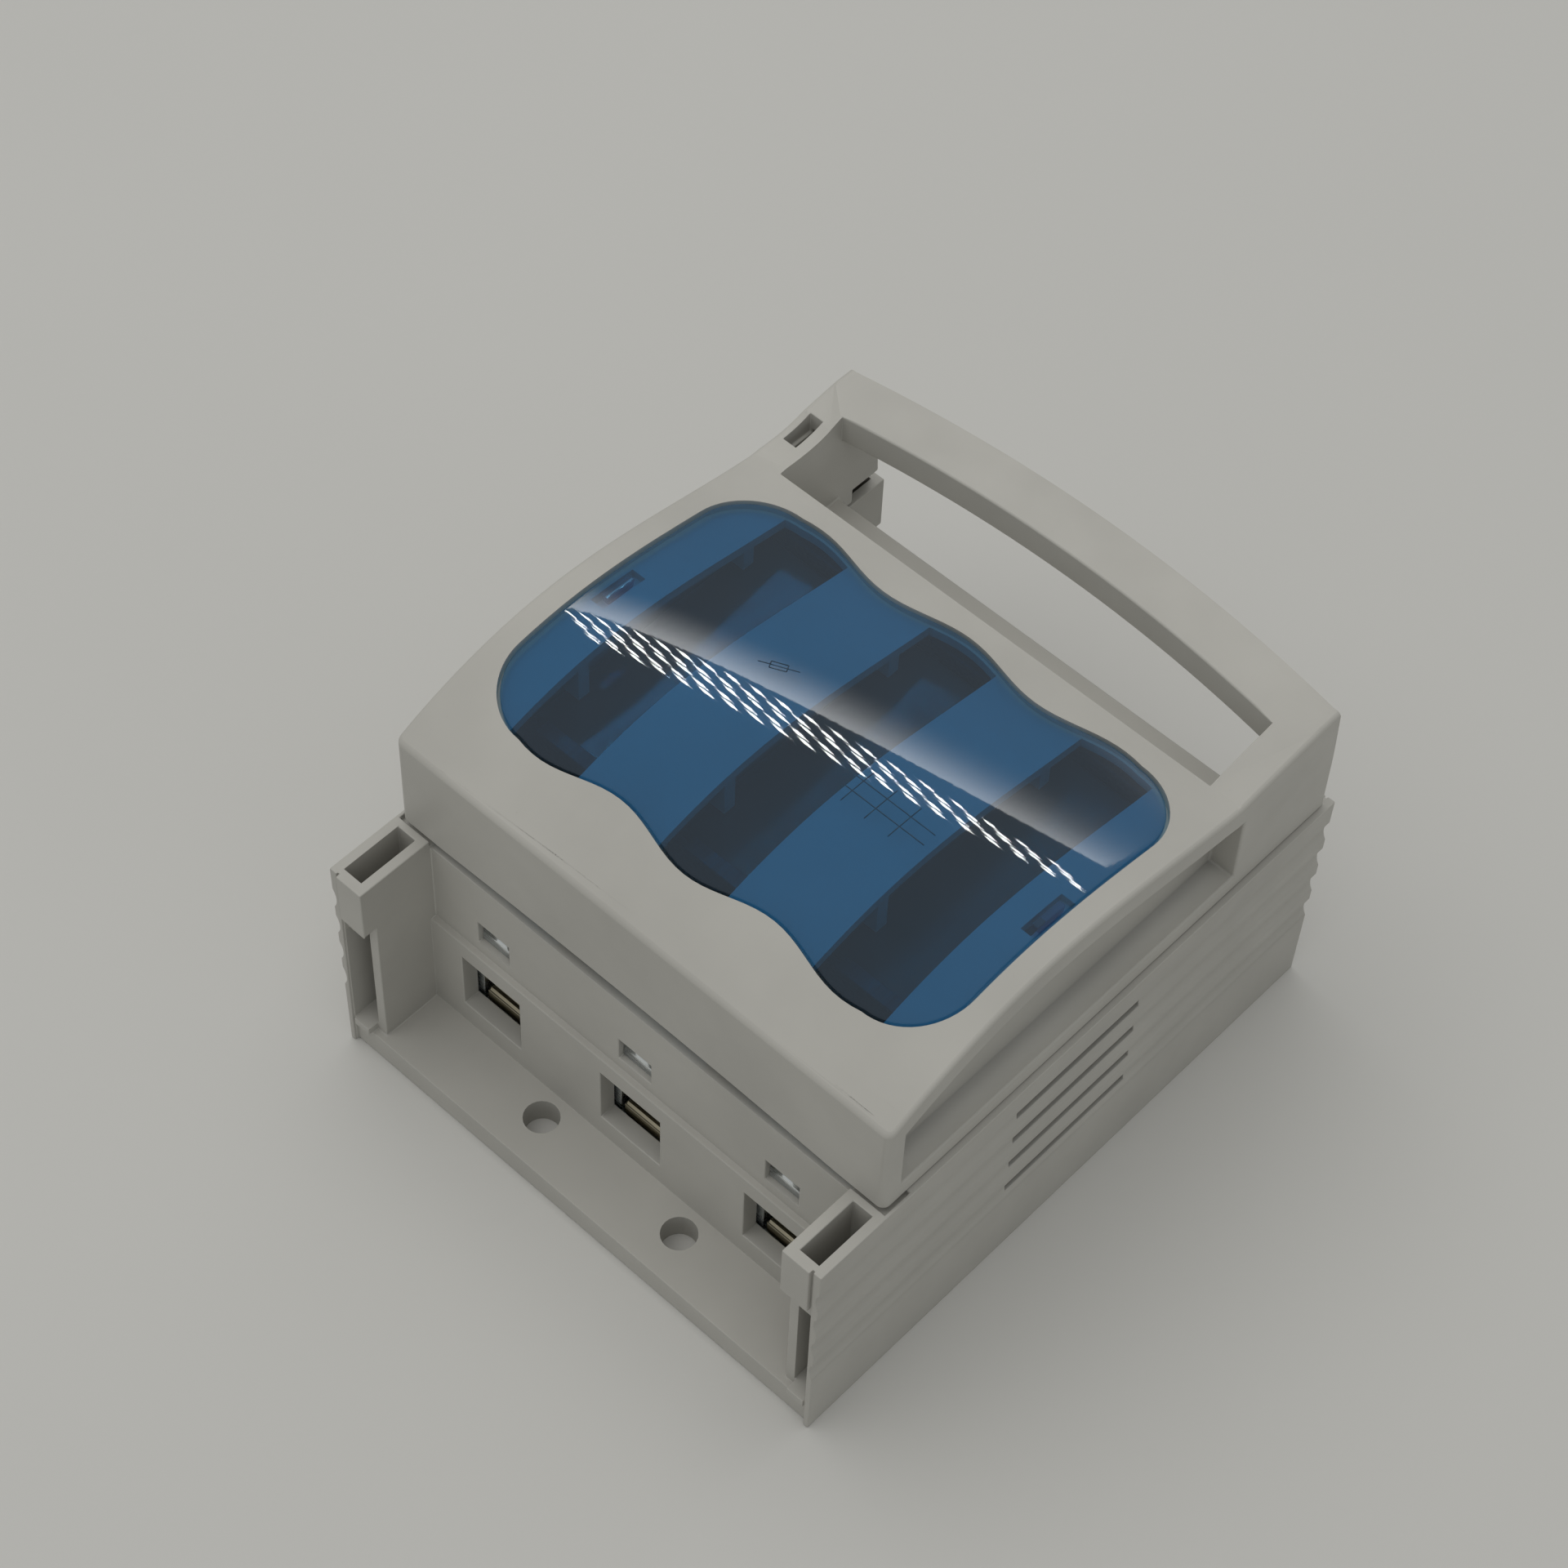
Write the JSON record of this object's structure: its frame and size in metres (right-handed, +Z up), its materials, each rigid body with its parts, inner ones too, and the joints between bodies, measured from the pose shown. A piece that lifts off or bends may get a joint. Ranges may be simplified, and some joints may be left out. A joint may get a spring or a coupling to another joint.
{
  "type": "fuse switch disconnector",
  "caption": "Three-pole fuse switch: tray with box clamps and contact jaws, hinged cover with a blue wavy window, a bowed handle and knife-blade fuse links.",
  "frame": {"origin": "middle of the overall footprint on the mounting face", "axes": "+X across the poles, +Y from the hinge end to the handle end, +Z up from the mounting face"},
  "size_m": [0.09, 0.1052, 0.0656],
  "materials": {
    "base_plastic": "fine satin, warm light grey",
    "cover_plastic": "fine satin, warm light grey",
    "window_plastic": "clear blue, glossy",
    "steel": "zinc plated",
    "spring_steel": "blued spring steel",
    "contact_metal": "plated copper alloy",
    "blade_metal": "silver-plated copper",
    "porcelain": "dark glazed porcelain"
  },
  "bodies": {
    "tray": {"base": "base_plastic", "hinge_pin_left": "steel", "hinge_pin_right": "steel", "contact_front_1": "contact_metal", "jaw_spring_front_1": "spring_steel", "clamp_cage_front_1": "steel", "fixing_screw_front_1": "steel", "contact_front_2": "contact_metal", "jaw_spring_front_2": "spring_steel", "clamp_cage_front_2": "steel", "fixing_screw_front_2": "steel", "contact_front_3": "contact_metal", "jaw_spring_front_3": "spring_steel", "clamp_cage_front_3": "steel", "fixing_screw_front_3": "steel", "contact_rear_1": "contact_metal", "jaw_spring_rear_1": "spring_steel", "clamp_cage_rear_1": "steel", "fixing_screw_rear_1": "steel", "contact_rear_2": "contact_metal", "jaw_spring_rear_2": "spring_steel", "clamp_cage_rear_2": "steel", "fixing_screw_rear_2": "steel", "contact_rear_3": "contact_metal", "jaw_spring_rear_3": "spring_steel", "clamp_cage_rear_3": "steel", "fixing_screw_rear_3": "steel"},
    "lid": {"cover": "cover_plastic", "window": "window_plastic", "link_body_1": "porcelain", "link_blade_front_1": "blade_metal", "link_blade_rear_1": "blade_metal", "link_end_plate_front_1": "steel", "link_end_plate_rear_1": "steel", "link_body_2": "porcelain", "link_blade_front_2": "blade_metal", "link_blade_rear_2": "blade_metal", "link_end_plate_front_2": "steel", "link_end_plate_rear_2": "steel", "link_body_3": "porcelain", "link_blade_front_3": "blade_metal", "link_blade_rear_3": "blade_metal", "link_end_plate_front_3": "steel", "link_end_plate_rear_3": "steel"},
    "pad_front_1": {"pressure_pad_front_1": "steel"},
    "screw_front_1": {"clamp_screw_front_1": "steel"},
    "pad_front_2": {"pressure_pad_front_2": "steel"},
    "screw_front_2": {"clamp_screw_front_2": "steel"},
    "pad_front_3": {"pressure_pad_front_3": "steel"},
    "screw_front_3": {"clamp_screw_front_3": "steel"},
    "pad_rear_1": {"pressure_pad_rear_1": "steel"},
    "screw_rear_1": {"clamp_screw_rear_1": "steel"},
    "pad_rear_2": {"pressure_pad_rear_2": "steel"},
    "screw_rear_2": {"clamp_screw_rear_2": "steel"},
    "pad_rear_3": {"pressure_pad_rear_3": "steel"},
    "screw_rear_3": {"clamp_screw_rear_3": "steel"}
  },
  "joints": [
    {"name": "cover_hinge", "type": "hinge", "parent": "tray", "child": "lid", "pos_m": [0, -0.0366, 0.0446], "axis": [1, 0, 0], "range_deg": [0, 90]},
    {"name": "pad_front_1_slide", "type": "slide", "parent": "tray", "child": "pad_front_1", "axis": [0, 0, -1], "range_m": [0, 0.003]},
    {"name": "screw_front_1_turn", "type": "hinge", "parent": "pad_front_1", "child": "screw_front_1", "pos_m": [-0.027, -0.0339, 0.024], "axis": [0, 0, -1], "range_deg": [0, 1080]},
    {"name": "pad_front_2_slide", "type": "slide", "parent": "tray", "child": "pad_front_2", "axis": [0, 0, -1], "range_m": [0, 0.003]},
    {"name": "screw_front_2_turn", "type": "hinge", "parent": "pad_front_2", "child": "screw_front_2", "pos_m": [0, -0.0339, 0.024], "axis": [0, 0, -1], "range_deg": [0, 1080]},
    {"name": "pad_front_3_slide", "type": "slide", "parent": "tray", "child": "pad_front_3", "axis": [0, 0, -1], "range_m": [0, 0.003]},
    {"name": "screw_front_3_turn", "type": "hinge", "parent": "pad_front_3", "child": "screw_front_3", "pos_m": [0.027, -0.0339, 0.024], "axis": [0, 0, -1], "range_deg": [0, 1080]},
    {"name": "pad_rear_1_slide", "type": "slide", "parent": "tray", "child": "pad_rear_1", "axis": [0, 0, -1], "range_m": [0, 0.003]},
    {"name": "screw_rear_1_turn", "type": "hinge", "parent": "pad_rear_1", "child": "screw_rear_1", "pos_m": [-0.027, 0.0364, 0.024], "axis": [0, 0, -1], "range_deg": [0, 1080]},
    {"name": "pad_rear_2_slide", "type": "slide", "parent": "tray", "child": "pad_rear_2", "axis": [0, 0, -1], "range_m": [0, 0.003]},
    {"name": "screw_rear_2_turn", "type": "hinge", "parent": "pad_rear_2", "child": "screw_rear_2", "pos_m": [0, 0.0364, 0.024], "axis": [0, 0, -1], "range_deg": [0, 1080]},
    {"name": "pad_rear_3_slide", "type": "slide", "parent": "tray", "child": "pad_rear_3", "axis": [0, 0, -1], "range_m": [0, 0.003]},
    {"name": "screw_rear_3_turn", "type": "hinge", "parent": "pad_rear_3", "child": "screw_rear_3", "pos_m": [0.027, 0.0364, 0.024], "axis": [0, 0, -1], "range_deg": [0, 1080]}
  ],
  "couplings": [
    {"joint": "screw_front_1_turn", "follows": "pad_front_1_slide", "rad_per_m": 6283.2},
    {"joint": "screw_front_2_turn", "follows": "pad_front_2_slide", "rad_per_m": 6283.2},
    {"joint": "screw_front_3_turn", "follows": "pad_front_3_slide", "rad_per_m": 6283.2},
    {"joint": "screw_rear_1_turn", "follows": "pad_rear_1_slide", "rad_per_m": 6283.2},
    {"joint": "screw_rear_2_turn", "follows": "pad_rear_2_slide", "rad_per_m": 6283.2},
    {"joint": "screw_rear_3_turn", "follows": "pad_rear_3_slide", "rad_per_m": 6283.2}
  ]
}
